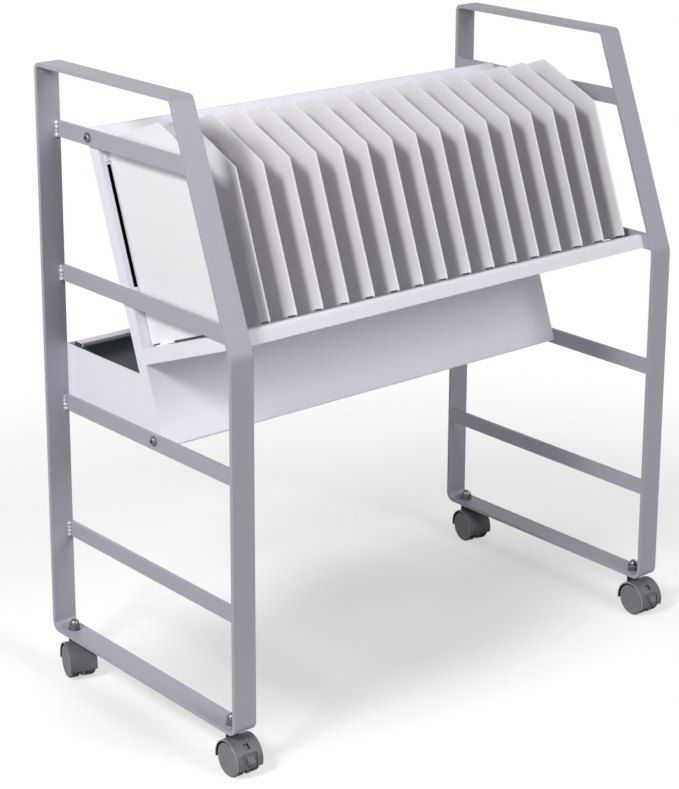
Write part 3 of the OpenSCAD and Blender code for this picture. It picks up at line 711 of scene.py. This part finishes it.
finishes = {
    "rack_bolts": chromePlate, "rack_nuts": zincPlate, "castor_stems": zincPlate,
    "stem_washers": chromePlate, "dome_nuts": chromePlate,
    "power_strip": stripPlastic, "outlets": outletPlastic, "power_switch": outletPlastic,
    "power_inlet": outletPlastic, "brake_lever_fl": hoodPlastic, "brake_lever_fr": hoodPlastic,
}
for corner in castorSettings["corners"]:
    finishes["axle_" + corner] = zincPlate
for name, material in finishes.items():
    paintObject(nodes[name], material)
print("finishes set")

# ---- stage and light ----
stageSettings = {
    "radius": 2.0, "segments": 96,
    "fadeFrom": 0.55, "fadeTo": 1.2,     # the paper fades into the white background
    "floor": 0.8,                        # how light the paper is for the light that it returns
    "seen": 1.35, "glow": 0.6,           # how light it is seen, and how much of that shines by itself
    "shade": 0.325, "shadeFrom": 0.26,   # a painted soft shadow under the cart
    "shadeMiddle": (0.03, 0.015, 0), "shadeSize": (0.587, 0.304, 1),
}
worldSettings = {"seen": 1.0, "light": 0.045}     # how bright the background looks, and how much it lights
lampSettings = {
    "highLeft": {"place": (-2.2, -0.65, 2.15), "size": 0.55, "power": 41.5},
    "lowLeft": {"place": (-2.6, 0.0, 1.5), "size": 1.8, "power": 23.8},
    "front": {"place": (0.4, -2.6, 1.9), "size": 1.2, "power": 40.0},
    "rightFront": {"place": (2.3, -1.7, 2.0), "size": 1.0, "power": 3.0},
    "behind": {"place": (0.4, 2.8, 1.3), "size": 1.8, "power": 8.0},
}
aim = Vector((0, 0, 0.4))     # the middle of the cart, which every lamp faces


def addLamp(name, s):
    lamp = bpy.data.lights.new(name, "AREA")
    lamp.size, lamp.energy = s["size"], s["power"]
    holder = bpy.data.objects.new(name, lamp)
    holder.location = s["place"]
    holder.rotation_mode = "QUATERNION"
    holder.rotation_quaternion = (aim - Vector(s["place"])).to_track_quat("-Z", "Y")
    holder.visible_camera = False
    bpy.context.scene.collection.objects.link(holder)


def addFloor(s):
    mesh = bpy.data.meshes.new("floor")
    shape = bmesh.new()
    bmesh.ops.create_circle(shape, cap_ends=True, segments=s["segments"], radius=s["radius"])
    shape.to_mesh(mesh)
    shape.free()
    floor = linkObject("floor", mesh)
    material, tree, shader = newMaterial("floorPaper")
    tree.nodes.remove(shader)
    out = tree.nodes["Material Output"]
    camera = addNode(tree, "ShaderNodeLightPath").outputs["Is Camera Ray"]
    place = addNode(tree, "ShaderNodeTexCoord").outputs["Object"]

    def vector(operation, a, b):
        return addNode(tree, "ShaderNodeVectorMath", {0: a, 1: b}, operation=operation).outputs[0]

    def fadeOut(offset, low, high):
        far = addNode(tree, "ShaderNodeVectorMath", {0: offset}, operation="LENGTH").outputs["Value"]
        fade = addNode(tree, "ShaderNodeMapRange", {
            "Value": far, "From Min": low, "From Max": high}, interpolation_type="SMOOTHSTEP")
        return fade.outputs["Result"]

    def grey(level):
        return addNode(tree, "ShaderNodeCombineColor", {0: level, 1: level, 2: level}).outputs[0]

    # painted shadow: the floor is seen darker in a soft patch under the cart
    fromShade = vector("DIVIDE", vector("SUBTRACT", place, s["shadeMiddle"]), s["shadeSize"])
    shade = rampBetween(tree, fadeOut(fromShade, s["shadeFrom"], 1), 0, 1, 1 - s["shade"], 1)
    seen = compute(tree, "MULTIPLY", shade, s["seen"])
    level = addNode(tree, "ShaderNodeMix", {0: camera, 2: s["floor"], 3: seen}).outputs[0]
    paper = addNode(tree, "ShaderNodeBsdfDiffuse", {"Color": grey(level)}).outputs[0]
    glow = addNode(tree, "ShaderNodeEmission", {"Color": grey(shade)}).outputs[0]
    share = compute(tree, "MULTIPLY", camera, s["glow"])
    lit = addNode(tree, "ShaderNodeMixShader", {0: share, 1: paper, 2: glow}).outputs[0]
    clear = addNode(tree, "ShaderNodeBsdfTransparent").outputs[0]
    mix = addNode(tree, "ShaderNodeMixShader", {
        0: fadeOut(place, s["fadeFrom"], s["fadeTo"]), 1: lit, 2: clear}).outputs[0]
    link(tree, mix, out.inputs["Surface"])
    paintObject(floor, material)


def setWorld(s):
    world = bpy.data.worlds.new("studio")
    world.use_nodes = True
    bpy.context.scene.world = world
    tree = world.node_tree
    path = addNode(tree, "ShaderNodeLightPath")
    seen = compute(tree, "MAXIMUM", path.outputs["Is Camera Ray"], path.outputs["Is Glossy Ray"])
    seen = compute(tree, "MAXIMUM", seen, path.outputs["Is Transmission Ray"])
    back = tree.nodes["Background"]
    back.inputs["Color"].default_value = (1, 1, 1, 1)
    link(tree, rampBetween(tree, seen, 0, 1, s["light"], s["seen"]), back.inputs["Strength"])


for name, s in lampSettings.items():
    addLamp(name, s)
addFloor(stageSettings)
setWorld(worldSettings)
print("stage set")
